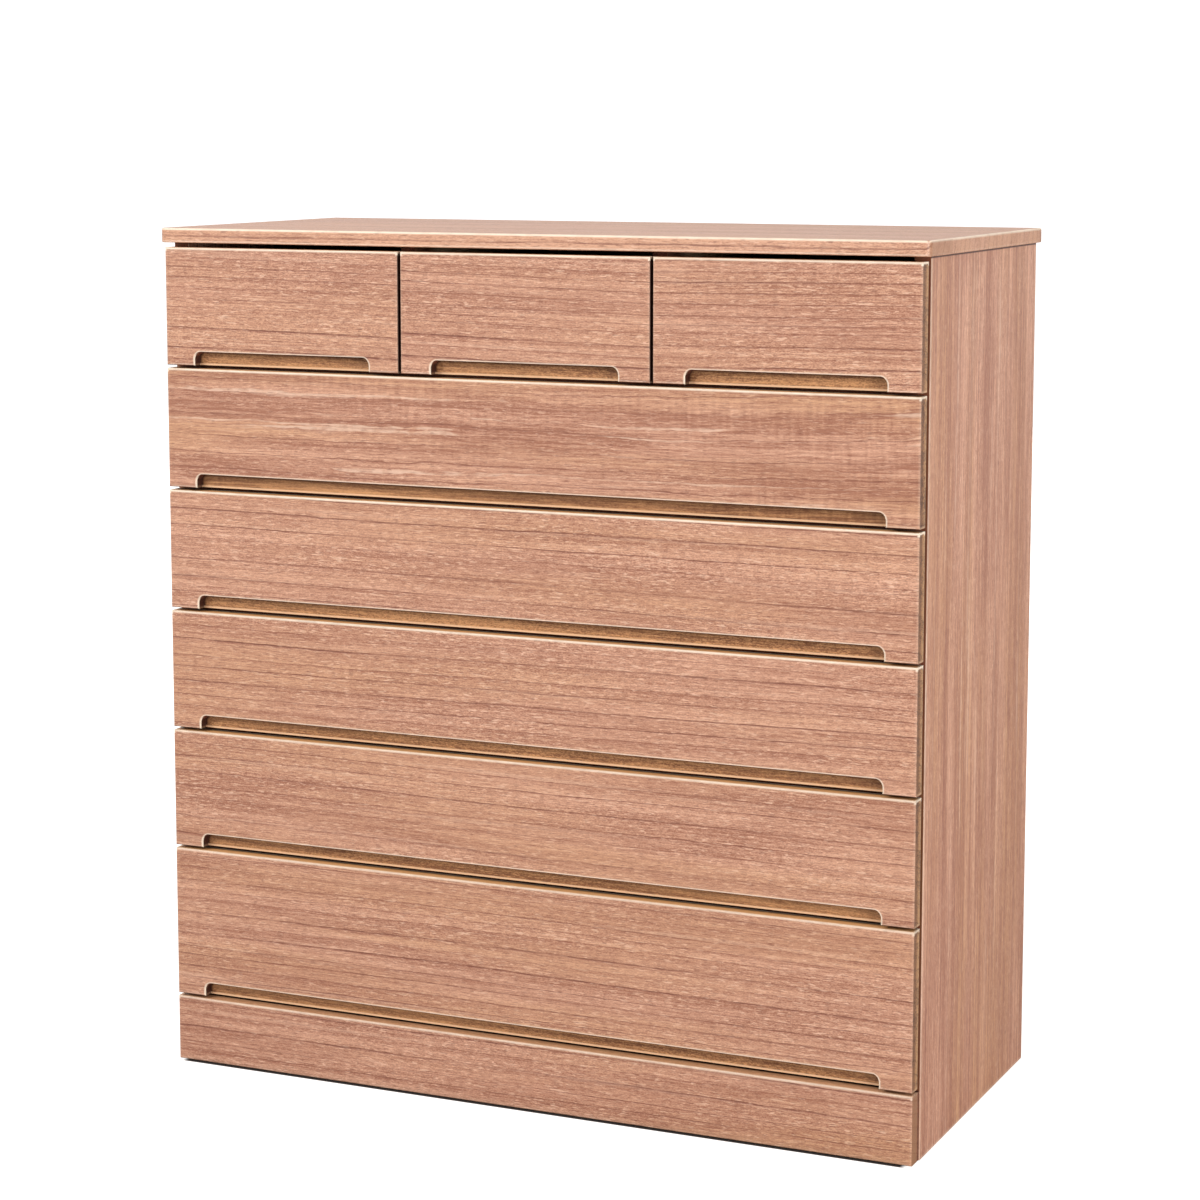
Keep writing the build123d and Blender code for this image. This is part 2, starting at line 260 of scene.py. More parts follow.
class NodeSheet:
    """Node tree being filled in: adds nodes in rows and feeds their sockets."""

    ROW_LENGTH = 8
    COLUMN_WIDTH = 200
    ROW_HEIGHT = 280

    def __init__(self, tree):
        self.tree = tree

    def node(self, kind, values=(), **settings):
        """New node; values are sockets to link or constants, by name or in order."""
        made = self.tree.nodes.new(kind)
        row, column = divmod(len(self.tree.nodes) - 1, self.ROW_LENGTH)
        made.location = (column * self.COLUMN_WIDTH, -row * self.ROW_HEIGHT)
        for key, value in settings.items():
            setattr(made, key, value)
        pairs = values.items() if isinstance(values, dict) else enumerate(values)
        for key, value in pairs:
            self.feed(made.inputs[key], value)
        return made

    def feed(self, socket, value):
        """Link a socket to another one, or set it."""
        if isinstance(value, bpy.types.NodeSocket):
            self.tree.links.new(value, socket)
        else:
            socket.default_value = value

    def math(self, operation, *values, clamp=False):
        """Math node's result."""
        return self.node("ShaderNodeMath", values, operation=operation, use_clamp=clamp).outputs[0]

    def vector(self, operation, *values):
        """Vector Math node's vector."""
        return self.node("ShaderNodeVectorMath", values, operation=operation).outputs["Vector"]

    def split(self, vector):
        """X, Y and Z of a vector."""
        return self.node("ShaderNodeSeparateXYZ", [vector]).outputs

    def normal(self):
        """X, Y and Z of the surface's normal on the object's own axes."""
        return self.split(self.node("ShaderNodeTexCoord").outputs["Normal"])

    def group(self, name, make, values):
        """Outputs of a shared node group, made on first use, with its sockets fed."""
        tree = bpy.data.node_groups.get(name) or make()
        return self.node("ShaderNodeGroup", values, node_tree=tree).outputs

    def noise(self, vector, stretch, detail=1.0, roughness=0.5, distortion=0.0):
        """Noise from 0 to 1 with its own number of lumps per metre along each axis."""
        scaled = self.vector("MULTIPLY", vector, stretch)
        values = {
            "Vector": scaled,
            "Scale": 1,
            "Detail": detail,
            "Roughness": roughness,
            "Distortion": distortion,
        }
        return self.node("ShaderNodeTexNoise", values).outputs[0]

    def fade(self, value, start, end, low=0.0, high=1.0):
        """Smooth step of a value from low at start to high at end."""
        values = [value, start, end, low, high]
        return self.node("ShaderNodeMapRange", values, interpolation_type="SMOOTHSTEP").outputs[0]

    def spread(self, value, amount):
        """Value from 0 to 1 made into one about zero, times an amount."""
        return self.math("MULTIPLY", self.math("SUBTRACT", value, 0.5), amount)

    def mix(self, share, first, second):
        """Second colour laid over the first by a share."""
        values = {0: share, 6: first, 7: second}
        return self.node("ShaderNodeMix", values, data_type="RGBA").outputs[2]


def new_group(name, inputs, outputs):
    """Empty shader node group with named sockets; returns its sheet, inputs and output node."""
    group = bpy.data.node_groups.new(name, "ShaderNodeTree")
    kinds = {"vector": "NodeSocketVector", "value": "NodeSocketFloat", "colour": "NodeSocketColor"}
    for label, kind in inputs:
        group.interface.new_socket(name=label, in_out="INPUT", socket_type=kinds[kind])
    for label, kind in outputs:
        group.interface.new_socket(name=label, in_out="OUTPUT", socket_type=kinds[kind])
    sheet = NodeSheet(group)
    entry = sheet.node("NodeGroupInput").outputs
    return sheet, entry, sheet.node("NodeGroupOutput")


def paulownia_group():
    """Solid paulownia with its length along X.

    Growth rings are cylinders round a pith line, bent by slow noise; each ring darkens towards its
    outer side and ends in a thin broken line. Streaks, fibres, flecks, pores and cross ripple lie
    over them, then golden patches, bright lines and silver flecks.
    """
    inputs = [
        ("Vector", "vector"),
        ("Pith", "vector"),
        ("Ring Spacing", "value"),
        ("Wander", "value"),
        ("Level", "value"),
        ("Tone", "value"),
        ("Line", "value"),
        ("Fleck", "value"),
        ("Ripple", "value"),
        ("Streak", "value"),
        ("Bright", "value"),
        ("Gold", "value"),
        ("Pale", "colour"),
        ("Deep", "colour"),
        ("Warm", "colour"),
        ("Line Colour", "colour"),
    ]
    outputs = [("Colour", "colour"), ("Grain", "value"), ("Roughness", "value"), ("Height", "value")]
    sheet, entry, leave = new_group("Paulownia", inputs, outputs)
    place = entry["Vector"]

    slow = sheet.spread(sheet.noise(place, (1.1, 5, 5)), 2)
    quick = sheet.spread(sheet.noise(place, (13, 48, 48), detail=3, roughness=0.6), 0.45)
    wander = sheet.math("MULTIPLY", sheet.math("ADD", slow, quick), entry["Wander"])
    bend = sheet.node("ShaderNodeCombineXYZ", {"Y": wander, "Z": wander}).outputs[0]
    bent = sheet.vector("ADD", place, bend)
    across = sheet.vector("MULTIPLY", sheet.vector("SUBTRACT", place, entry["Pith"]), (0, 1, 1))
    radius = sheet.node("ShaderNodeVectorMath", [across], operation="LENGTH").outputs["Value"]
    turns = sheet.math("DIVIDE", sheet.math("ADD", radius, wander), entry["Ring Spacing"])
    year = sheet.node("ShaderNodeCombineXYZ", [turns]).outputs[0]
    uneven = sheet.math("ADD", turns, sheet.spread(sheet.noise(year, (0.5, 1, 1), detail=0), 1.1))
    ring = sheet.math("FRACT", uneven)
    number = sheet.math("FLOOR", uneven)
    lot = sheet.node("ShaderNodeTexWhiteNoise", {"W": number}, noise_dimensions="1D").outputs["Value"]

    late = sheet.fade(ring, 0.3, 1.0)
    left = sheet.math("MULTIPLY", sheet.math("SUBTRACT", 1, ring), entry["Ring Spacing"])
    edge = sheet.math("MULTIPLY", sheet.fade(left, 2.0 * MM, 0.8 * MM), sheet.fade(left, 0, 0.25 * MM))
    dashes = sheet.fade(sheet.noise(place, (60, 160, 160), detail=2), 0.36, 0.56, 0.5, 1)
    broken = sheet.fade(sheet.noise(place, (5, 60, 60), detail=2), 0.34, 0.56, 0.5, 1)
    strong = sheet.fade(lot, 0.05, 0.7, 0.4, 1)
    line = sheet.math("MULTIPLY", sheet.math("MULTIPLY", edge, broken), strong)
    line = sheet.math("MULTIPLY", sheet.math("MULTIPLY", line, dashes), entry["Line"], clamp=True)

    tone = sheet.fade(sheet.noise(bent, (2.6, 50, 50), detail=3), 0.27, 0.73)
    fibre = sheet.fade(sheet.noise(place, (18, 620, 620), detail=3, roughness=0.65), 0.3, 0.7)
    fleck = sheet.noise(place, (170, 560, 560), detail=2, roughness=0.6, distortion=0.9)
    fleck = sheet.fade(fleck, 0.36, 0.64)
    mottle = sheet.fade(sheet.noise(place, (420, 900, 900), detail=1), 0.34, 0.66)
    pore = sheet.fade(sheet.noise(place, (85, 1100, 1100), detail=0), 0.62, 0.74)
    silver = sheet.fade(sheet.noise(place, (95, 640, 640), detail=1, distortion=0.6), 0.58, 0.72)
    patch = sheet.fade(sheet.noise(place, (2.3, 7, 7)), 0.42, 0.66)
    lively = sheet.fade(sheet.noise(place, (3.1, 19, 19), detail=1), 0.3, 0.7, 0.75, 1.3)
    lively = sheet.math("MULTIPLY", lively, entry["Fleck"])
    wave = sheet.spread(sheet.noise(place, (170, 24, 24)), 2)
    ripple = sheet.math("MULTIPLY", sheet.math("MULTIPLY", wave, patch), entry["Ripple"])
    streak = sheet.fade(sheet.noise(bent, (0.9, 300, 300), detail=2, roughness=0.6), 0.33, 0.67)

    bright = sheet.fade(sheet.noise(bent, (1.6, 130, 130), detail=1), 0.63, 0.73)
    bright = sheet.math("MULTIPLY", sheet.math("MULTIPLY", bright, dashes), entry["Bright"])
    glint = sheet.math("MULTIPLY", silver, sheet.math("MULTIPLY", lively, GLINT_SHARE))
    bright = sheet.math("MAXIMUM", bright, glint, clamp=True)

    grain = sheet.math("ADD", sheet.spread(tone, entry["Tone"]), entry["Level"])
    yearly = sheet.math("MULTIPLY", entry["Tone"], YEAR_SHARE)
    grain = sheet.math("ADD", grain, sheet.spread(lot, yearly))
    grain = sheet.math("ADD", grain, sheet.spread(fibre, FIBRE_SHARE))
    flecked = sheet.math("MULTIPLY", lively, FLECK_SHARE)
    grain = sheet.math("ADD", grain, sheet.spread(fleck, flecked))
    mottled = sheet.math("MULTIPLY", lively, MOTTLE_SHARE)
    grain = sheet.math("ADD", grain, sheet.spread(mottle, mottled))
    grain = sheet.math("ADD", grain, sheet.math("MULTIPLY", silver, lively))
    grain = sheet.math("ADD", grain, ripple)
    grain = sheet.math("ADD", grain, sheet.spread(streak, entry["Streak"]))
    late = sheet.math("MULTIPLY", late, LATE_WOOD_SHARE)
    grain = sheet.math("SUBTRACT", grain, late, clamp=True)

    golden = sheet.fade(sheet.noise(place, (1.3, 17, 17), detail=3), 0.36, 0.66)
    golden = sheet.math("MULTIPLY", golden, entry["Gold"])
    colour = sheet.mix(grain, entry["Deep"], entry["Pale"])
    colour = sheet.mix(golden, colour, sheet.mix(grain, entry["Deep"], entry["Warm"]))
    colour = sheet.mix(bright, colour, sheet.mix(0.4, entry["Pale"], GLINT_WOOD))
    colour = sheet.mix(sheet.math("MULTIPLY", pore, PORE_SHARE), colour, entry["Line Colour"])
    colour = sheet.mix(line, colour, entry["Line Colour"])

    rough = sheet.math("ADD", sheet.spread(fibre, 0.12), sheet.math("MULTIPLY", line, 0.12))
    height = sheet.math("ADD", sheet.spread(fibre, 0.5), sheet.spread(fleck, 0.5))
    height = sheet.math("SUBTRACT", height, sheet.math("MULTIPLY", pore, 0.8))
    height = sheet.math("SUBTRACT", height, sheet.math("MULTIPLY", line, 0.9))

    sheet.feed(leave.inputs["Colour"], colour)
    sheet.feed(leave.inputs["Grain"], grain)
    sheet.feed(leave.inputs["Roughness"], sheet.math("ADD", rough, 0.52, clamp=True))
    sheet.feed(leave.inputs["Height"], height)
    return sheet.tree


def eased_edge_group():
    """Mask of a box-shaped board's edges: upper ones in full, lower ones and ends by shares.

    Of a point's three distances to the nearest faces along X, Y and Z, the middle one is its
    distance to the nearest edge; the mask fades out over the width, a little unevenly, and leaves
    out what faces down. The pale edge it makes is wear and a painted highlight from above.
    """
    inputs = [
        ("Vector", "vector"),
        ("Normal", "vector"),
        ("Low", "vector"),
        ("High", "vector"),
        ("Width", "value"),
        ("Lower Share", "value"),
        ("End Share", "value"),
    ]
    sheet, entry, leave = new_group("Eased Edges", inputs, [("Edge", "value")])
    below = sheet.vector("SUBTRACT", entry["Vector"], entry["Low"])
    above = sheet.vector("SUBTRACT", entry["High"], entry["Vector"])
    x, y, z = sheet.split(sheet.vector("MINIMUM", below, above))
    least = sheet.math("MINIMUM", x, sheet.math("MINIMUM", y, z))
    most = sheet.math("MAXIMUM", x, sheet.math("MAXIMUM", y, z))
    total = sheet.math("ADD", x, sheet.math("ADD", y, z))
    middle = sheet.math("SUBTRACT", total, sheet.math("ADD", least, most))
    near = sheet.fade(middle, entry["Width"], sheet.math("MULTIPLY", entry["Width"], 0.4))
    edge_paling = sheet.fade(sheet.noise(entry["Vector"], (45, 45, 45), detail=2), 0.25, 0.6, 0.75, 1)
    # No painted highlight on what faces down
    upward = sheet.fade(sheet.split(entry["Normal"])["Z"], -0.4, -0.05)
    worn_and_highlit = sheet.math("MULTIPLY", sheet.math("MULTIPLY", near, edge_paling), upward)
    drop = sheet.split(above)["Z"]
    upper = sheet.fade(drop, sheet.math("MULTIPLY", entry["Width"], 1.6), entry["Width"])
    at_end = sheet.fade(x, sheet.math("MULTIPLY", entry["Width"], 1.6), entry["Width"])
    ending = sheet.math("SUBTRACT", entry["End Share"], entry["Lower Share"])
    share = sheet.math("ADD", entry["Lower Share"], sheet.math("MULTIPLY", at_end, ending))
    share = sheet.math("MAXIMUM", upper, share)
    sheet.feed(leave.inputs["Edge"], sheet.math("MULTIPLY", worn_and_highlit, share))
    return sheet.tree


def finger_lip_group():
    """Mask of a finger recess's lip, which has rounded upper corners, and painted shade inside it.

    With q the point's place past the corner arc's centre, the signed distance to the outline is
    |max(q, 0)| + min(max(qx, qz), 0) - radius. The lip fades out over the width, and the painted
    shade at the inner corners over half the radius; outside the outline the shade is full.
    """
    inputs = [
        ("Vector", "vector"),
        ("Centre", "vector"),
        ("Half Size", "vector"),
        ("Radius", "value"),
        ("Width", "value"),
    ]
    sheet, entry, leave = new_group("Finger Lip", inputs, [("Lip", "value"), ("Shade", "value")])
    away = sheet.vector("ABSOLUTE", sheet.vector("SUBTRACT", entry["Vector"], entry["Centre"]))
    corner = sheet.vector("ADD", sheet.vector("SUBTRACT", away, entry["Half Size"]), entry["Radius"])
    flat = sheet.vector("MULTIPLY", corner, (1, 0, 1))
    outside = sheet.vector("MAXIMUM", flat, (0, 0, 0))
    reach = sheet.node("ShaderNodeVectorMath", [outside], operation="LENGTH").outputs["Value"]
    past = sheet.split(corner)
    inside = sheet.math("MINIMUM", sheet.math("MAXIMUM", past["X"], past["Z"]), 0)
    distance = sheet.math("SUBTRACT", sheet.math("ADD", reach, inside), entry["Radius"])
    near = sheet.fade(sheet.math("ABSOLUTE", distance), entry["Width"], 0)
    sheet.feed(leave.inputs["Lip"], near)
    shade_start = sheet.math("MULTIPLY", entry["Radius"], -0.5)
    sheet.feed(leave.inputs["Shade"], sheet.fade(distance, shade_start, 0))
    return sheet.tree


def new_material(name):
    """Material with an empty sheet, its Principled shader and the object's own coordinates."""
    material = bpy.data.materials.new(name)
    material.use_nodes = True
    material.node_tree.nodes.clear()
    sheet = NodeSheet(material.node_tree)
    shader = sheet.node("ShaderNodeBsdfPrincipled")
    output = sheet.node("ShaderNodeOutputMaterial")
    sheet.feed(output.inputs["Surface"], shader.outputs["BSDF"])
    place = sheet.node("ShaderNodeTexCoord").outputs["Object"]
    return material, sheet, shader, place


def paulownia_node(sheet, place, wood, turn, offset, look):
    """Paulownia group placed in a material; look holds its numbers, wood its colours."""
    values = {"Vector": place, "Location": offset, "Rotation": turn}
    turned = sheet.node("ShaderNodeMapping", values).outputs["Vector"]
    colours = {"Pale": wood.pale, "Deep": wood.deep, "Warm": wood.warm, "Line Colour": wood.line}
    sockets = {"Vector": turned, **look}
    sockets.update({label: opaque(colour) for label, colour in colours.items()})
    return sheet.group("Paulownia", paulownia_group, sockets)


def finish_wood(sheet, shader, colour, grain, bump_depth):
    """Feed a wood's colour, roughness and bump to its shader."""
    sheet.feed(shader.inputs["Base Color"], colour)
    sheet.feed(shader.inputs["Roughness"], grain["Roughness"])
    bump = sheet.node("ShaderNodeBump", {"Height": grain["Height"], "Distance": bump_depth})
    sheet.feed(shader.inputs["Normal"], bump.outputs["Normal"])
    shader.inputs["Specular IOR Level"].default_value = 0.35


def board_offset(node, turn, along):
    """Offset that brings a board's middle to a place along the grain, so that boards differ."""
    low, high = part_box(node)
    middle = Euler(turn).to_matrix() @ ((low + high) / 2)
    return Vector((along, 0, 0)) - middle


def face_look(
    spacing=16,
    wander=9,
    level=0.54,
    tone=0.3,
    line=1.0,
    fleck=0.42,
    ripple=0.06,
    streak=0.25,
    bright=0.15,
    gold=0.5,
):
    """Numbers of a finished board's figure; spacing and wander are in millimetres."""
    return {
        "Pith": (0, -0.26, 0.06),
        "Ring Spacing": spacing * MM,
        "Wander": wander * MM,
        "Level": level,
        "Tone": tone,
        "Line": line,
        "Fleck": fleck,
        "Ripple": ripple,
        "Streak": streak,
        "Bright": bright,
        "Gold": gold,
    }


def edge_mask(sheet, place, node, wood, lower_share, end_share):
    """Eased Edges group fitted to a board's box, fainter near the floor."""
    low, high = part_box(node)
    values = {
        "Vector": place,
        "Normal": sheet.node("ShaderNodeTexCoord").outputs["Normal"],
        "Low": low,
        "High": high,
        "Width": wood.arris_width,
        "Lower Share": lower_share,
        "End Share": end_share,
    }
    edge = sheet.group("Eased Edges", eased_edge_group, values)["Edge"]
    # The pale edge, wear and a painted highlight, is weaker towards the floor
    edge_paling = sheet.fade(sheet.split(place)["Z"], *EDGE_PALING_HEIGHT)
    strength = sheet.math("MULTIPLY", edge_paling, wood.arris_strength)
    return sheet.math("MULTIPLY", edge, strength)


def paint_gap_shade(sheet, share, colour, grain, wood):
    """Lay painted shade on edges that face a gap over a colour by a share."""
    gap_shade_colour = sheet.mix(grain["Grain"], opaque(wood.shade_and_streaks), opaque(wood.gap_shade))
    return sheet.mix(share, colour, gap_shade_colour)


def paint_ledge_light_and_shade(sheet, colour, depth, wood, share, rear_shade_start, rear_shade_end):
    """Paint golden light on a board's upper edge by a share, and shade towards its rear."""
    upward = sheet.fade(sheet.normal()["Z"], *UPWARD_FACING)
    colour = sheet.mix(sheet.math("MULTIPLY", upward, share), colour, opaque(wood.ledge_light))
    dark = sheet.math("MULTIPLY", upward, sheet.fade(depth, rear_shade_start, rear_shade_end))
    return sheet.mix(dark, colour, opaque(wood.shade_and_streaks))


def front_facing(sheet):
    """Mask of what faces straight forward, behind the drawer fronts, for painted shade."""
    return sheet.fade(sheet.normal()["Y"], *FORWARD_FACING)


def face_board(
    node,
    turn,
    along,
    look,
    edges=(0.2, 0.1),
    behind_fronts=False,
    end_tone=0.0,
    lipping=0.0,
    gap_above=False,
    wax=0.0,
):
    """Give a finished board its own paulownia with pale eased edges, wear and painted highlight.

    A share end_tone darkens the ends, which take no wax; behind the length lipping they are paler,
    and towards the rear they take painted shade. With gap_above the upper edge shows in a gap and
    takes painted light and shade; behind_fronts paints shade on the front edge and a shadow line
    under the top.
    """
    wood = bpy.context.scene.chest_face_wood
    material, sheet, shader, place = new_material(f"{node}_wood")
    grain = paulownia_node(sheet, place, wood, turn, board_offset(node, turn, along), look)
    # Pale eased edges: wear and a painted highlight
    edge = edge_mask(sheet, place, node, wood, *edges)
    colour = sheet.mix(edge, grain["Colour"], opaque(wood.arris_wear_and_highlight))
    if end_tone:
        end = sheet.fade(sheet.math("ABSOLUTE", sheet.normal()["X"]), *END_FACING)
        polish = sheet.math("MULTIPLY", sheet.math("SUBTRACT", 1, end), wax)
        sheet.feed(shader.inputs["Coat Weight"], polish)
        end = sheet.math("MULTIPLY", end, end_tone)
        if lipping:
            ahead = sheet.math("SUBTRACT", sheet.split(place)["Y"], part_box(node)[0].y)
            paling = sheet.fade(ahead, lipping, lipping + LIPPING_FADE, 1, BEHIND_LIPPING)
            end = sheet.math("MULTIPLY", end, paling)
        colour = sheet.mix(end, colour, opaque(wood.end))
        # Painted shade towards the rear of the ends
        left = sheet.math("SUBTRACT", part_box(node)[1].y, sheet.split(place)["Y"])
        joint_shade = sheet.math("MULTIPLY", end, sheet.fade(left, *END_JOINT_SHADE))
        colour = paint_gap_shade(sheet, joint_shade, colour, grain, wood)
    if gap_above:
        # Painted light on the upper edge seen in the gap above, with painted shade towards its rear
        low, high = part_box(node)
        depth = sheet.math("SUBTRACT", sheet.split(place)["Y"], low.y)
        rear = high.y - low.y
        rear_shade_start, rear_shade_end = (rear - distance for distance in PLINTH_REAR_SHADE)
        colour = paint_ledge_light_and_shade(sheet, colour, depth, wood, PLINTH_LEDGE_LIGHT, rear_shade_start, rear_shade_end)
    if behind_fronts:
        # Painted shadow line under the top, and painted shade on the front edge beside the fronts
        drop = sheet.math("SUBTRACT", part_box("top_board")[0].z, sheet.split(place)["Z"])
        colour = sheet.mix(sheet.fade(drop, *SHADOW_UNDER_TOP), colour, opaque(wood.shade_and_streaks))
        gap_shade_colour = sheet.mix(grain["Grain"], opaque(wood.gap_shade), opaque(wood.core_deep))
        colour = sheet.mix(front_facing(sheet), colour, gap_shade_colour)
    finish_wood(sheet, shader, colour, grain, FACE_BUMP)
    shader.inputs["Coat Roughness"].default_value = 0.25
    give(node, material)


def front_board(drawer, along, look, lean=0.0):
    """Give a drawer front its wood: face figure outside, golden in the recess, dark at the ends."""
    wood = bpy.context.scene.chest_face_wood
    node = f"{drawer}_front"
    low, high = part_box(node)
    material, sheet, shader, place = new_material(f"{drawer}_front_wood")
    turn = (ALONG_X_UPRIGHT[0], ALONG_X_UPRIGHT[1], math.radians(lean))
    grain = paulownia_node(sheet, place, wood, turn, board_offset(node, turn, along), look)

    depth = sheet.math("SUBTRACT", sheet.split(place)["Y"], low.y)
    inside = sheet.fade(depth, *RECESS_INSIDE)
    values = {
        "Vector": place,
        "Centre": Vector(((low.x + high.x) / 2, low.y, low.z)),
        "Half Size": Vector(((high.x - low.x) / 2 - wood.recess_margin, 1, wood.recess_height)),
        "Radius": wood.recess_radius,
        "Width": wood.lip_width,
    }
    lip = sheet.group("Finger Lip", finger_lip_group, values)
    # Painted shade in the recess's corners and on deeper wood outside it, the rear face too
    core = sheet.mix(grain["Grain"], opaque(wood.core_deep), opaque(wood.core))
    shaded = sheet.math("MULTIPLY", lip["Shade"], wood.recess_shade)
    core = sheet.mix(shaded, core, opaque(wood.shade_and_streaks))
    # Painted highlight along the foot of the recess
    rise = sheet.math("SUBTRACT", sheet.split(place)["Z"], low.z)
    foot = sheet.mix(FOOT_HIGHLIGHT_SHARE, opaque(wood.ledge_light), opaque(wood.arris_wear_and_highlight))
    core = sheet.mix(sheet.fade(rise, *RECESS_FOOT_HIGHLIGHT), core, foot)
    colour = sheet.mix(inside, grain["Colour"], core)
    normal = sheet.normal()
    end = sheet.fade(sheet.math("ABSOLUTE", normal["X"]), *END_FACING, 0, FRONT_END_SHARE)
    paling = sheet.fade(depth, *END_PALING)
    end_colour = sheet.mix(paling, opaque(wood.end), opaque(wood.end_pale))
    streaks = sheet.fade(grain["Grain"], *END_STREAKS)
    end_colour = sheet.mix(streaks, end_colour, opaque(wood.shade_and_streaks))
    # Inner ends, facing each other across a gap, take painted shade; outer ends show end grain
    aside = sheet.math("ABSOLUTE", sheet.split(place)["X"])
    outer_start, outer_end = (CAD_BOX[1].x - distance for distance in OUTER_END)
    outermost = sheet.fade(aside, outer_start, outer_end)
    colour = sheet.mix(end, colour, sheet.mix(outermost, opaque(wood.shade_and_streaks), end_colour))
    # Painted shade on what faces down; painted light on the upper edge, shaded towards its rear
    under = sheet.fade(normal["Z"], *DOWNWARD_FACING)
    colour = paint_gap_shade(sheet, under, colour, grain, wood)
    colour = paint_ledge_light_and_shade(sheet, colour, depth, wood, *FRONT_LEDGE_LIGHT_AND_SHADE)

    # The pale lip round the recess and the eased edges are wear and a painted highlight
    shallow = sheet.math("SUBTRACT", 1, sheet.math("MAXIMUM", inside, under))
    lip_share = sheet.math("MULTIPLY", lip["Lip"], shallow)
    lip_share = sheet.math("MULTIPLY", lip_share, wood.lip_strength)
    edge = sheet.math("MAXIMUM", edge_mask(sheet, place, node, wood, *FRONT_EDGES), lip_share)
    colour = sheet.mix(edge, colour, opaque(wood.arris_wear_and_highlight))
    finish_wood(sheet, shader, colour, grain, FACE_BUMP)
    give(node, material)


def plain_board_material(
    name, wood, turn, offset, tone=0.4, fleck=0.4, behind_fronts=False, shade_end=0.0
):
    """Wood for boards that share one finish: bare inner boards or veneered panels.

    Behind the fronts their front edges take painted shade; with shade_end, painted shade also
    covers what lies in front of that place on the Y axis and fades out towards it.
    """
    material, sheet, shader, place = new_material(name)
    look = {
        "Pith": (0, -0.7, 0.3),
        "Ring Spacing": wood.ring_spacing,
        "Wander": 7 * MM,
        "Level": 0.55,
        "Tone": tone,
        "Line": wood.line_strength,
        "Fleck": fleck,
        "Ripple": 0.05,
        "Streak": 0.2,
        "Bright": 0.1,
        "Gold": 0.5,
    }
    grain = paulownia_node(sheet, place, wood, turn, offset, look)
    colour = grain["Colour"]
    if behind_fronts:
        # Painted shade where these boards show in the gaps behind the fronts
        share = front_facing(sheet)
        if shade_end:
            depth = sheet.math("SUBTRACT", shade_end, sheet.split(place)["Y"])
            share = sheet.math("MAXIMUM", share, sheet.fade(depth, *PARTITION_FADE))
        colour = paint_gap_shade(sheet, share, colour, grain, bpy.context.scene.chest_face_wood)
    finish_wood(sheet, shader, colour, grain, BARE_BUMP)
    return material


def give(node, material):
    """Put a material on a node of the frame."""
    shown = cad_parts[node].data
    shown.materials.clear()
    shown.materials.append(material)


def domed_heads(centres, outward, radius, rise, sunk):
    """Closed round heads with a flat underside in the wood and a domed top.

    Each is a profile turned about its axis: (0, -sunk), (r, -sunk), (r, 0), then an arc of the
    dome, radius r cos(a) and height rise sin(a), to the pole at a = 90 degrees.
    """
    steps = 16
    arc = np.radians([0, 25, 50, 72])
    profile_radius = np.concatenate(([radius], radius * np.cos(arc)))
    profile_height = np.concatenate(([-sunk], rise * np.sin(arc)))
    angle = np.arange(steps) * 2 * np.pi / steps
    axis = np.array(outward, float)
    side = np.cross(axis, (0.0, 0.0, 1.0) if abs(axis[2]) < 0.5 else (1.0, 0.0, 0.0))
    other = np.cross(axis, side)
    round_side = np.cos(angle)[:, None] * side + np.sin(angle)[:, None] * other
    shell = profile_radius[:, None, None] * round_side + profile_height[:, None, None] * axis
    poles = np.array([-sunk, rise])[:, None] * axis
    head = np.concatenate((shell.reshape(-1, 3), poles))
    rings = len(profile_radius)

    here = np.arange(steps)
    ahead = (here + 1) % steps
    row = (np.arange(rings - 1) * steps)[:, None]
    quads = np.stack((row + here, row + ahead, row + steps + ahead, row + steps + here), axis=-1)
    quads = quads.reshape(-1, 4)
    bottom = np.stack((ahead, here, np.full(steps, rings * steps)), axis=-1)
    last = (rings - 1) * steps
    top = np.stack((last + here, last + ahead, np.full(steps, rings * steps + 1)), axis=-1)

    places = np.array(centres, float)
    points = (places[:, None, :] + head[None, :, :]).reshape(-1, 3)
    first = (np.arange(len(places)) * len(head))[:, None, None]
    faces = []
    for block in (quads, bottom, top):
        faces += (first + block).reshape(-1, block.shape[1]).tolist()
    return points.tolist(), faces


def heads_piece(name, body, centres, outward, radius, rise, sunk, material):
    """Group of like heads as one piece that rides on a body."""
    points, faces = domed_heads(centres, outward, radius, rise, sunk)
    mesh = bpy.data.meshes.new(name)
    mesh.from_pydata(points, [], faces)
    mesh.validate()
    mesh.polygons.foreach_set("use_smooth", np.ones(len(mesh.polygons), dtype=bool))
    mesh.set_sharp_from_angle(angle=math.radians(40))
    mesh.materials.append(material)
    piece = bpy.data.objects.new(name, mesh)
    bpy.context.scene.collection.objects.link(piece)
    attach(piece, body)


def even_places(start, end, spacing):
    """Places from start to end, as near to a spacing apart as they divide evenly."""
    return np.linspace(start, end, max(2, round((end - start) / spacing) + 1))


def peg_material(colour):
    """End grain of a peg, with fine specks."""
    material, sheet, shader, place = new_material("peg_end_grain")
    speck = sheet.noise(place, (1600, 1600, 1600), detail=2)
    dark = opaque(tuple(value * 0.55 for value in colour))
    sheet.feed(shader.inputs["Base Color"], sheet.mix(speck, dark, opaque(colour)))
    sheet.feed(shader.inputs["Roughness"], sheet.fade(speck, 0.2, 0.8, 0.5, 0.75))
    bump = sheet.node("ShaderNodeBump", {"Height": speck, "Distance": 0.1 * MM})
    sheet.feed(shader.inputs["Normal"], bump.outputs["Normal"])
    return material


def nail_material(colour):
    """Dulled steel of a nail's head."""
    material, sheet, shader, place = new_material("nail_steel")
    dull = sheet.noise(place, (900, 900, 900), detail=3)
    dark = opaque(tuple(value * 0.5 for value in colour))
    sheet.feed(shader.inputs["Base Color"], sheet.mix(dull, dark, opaque(colour)))
    sheet.feed(shader.inputs["Roughness"], sheet.fade(dull, 0.3, 0.7, 0.3, 0.55))
    shader.inputs["Metallic"].default_value = 1
    return material


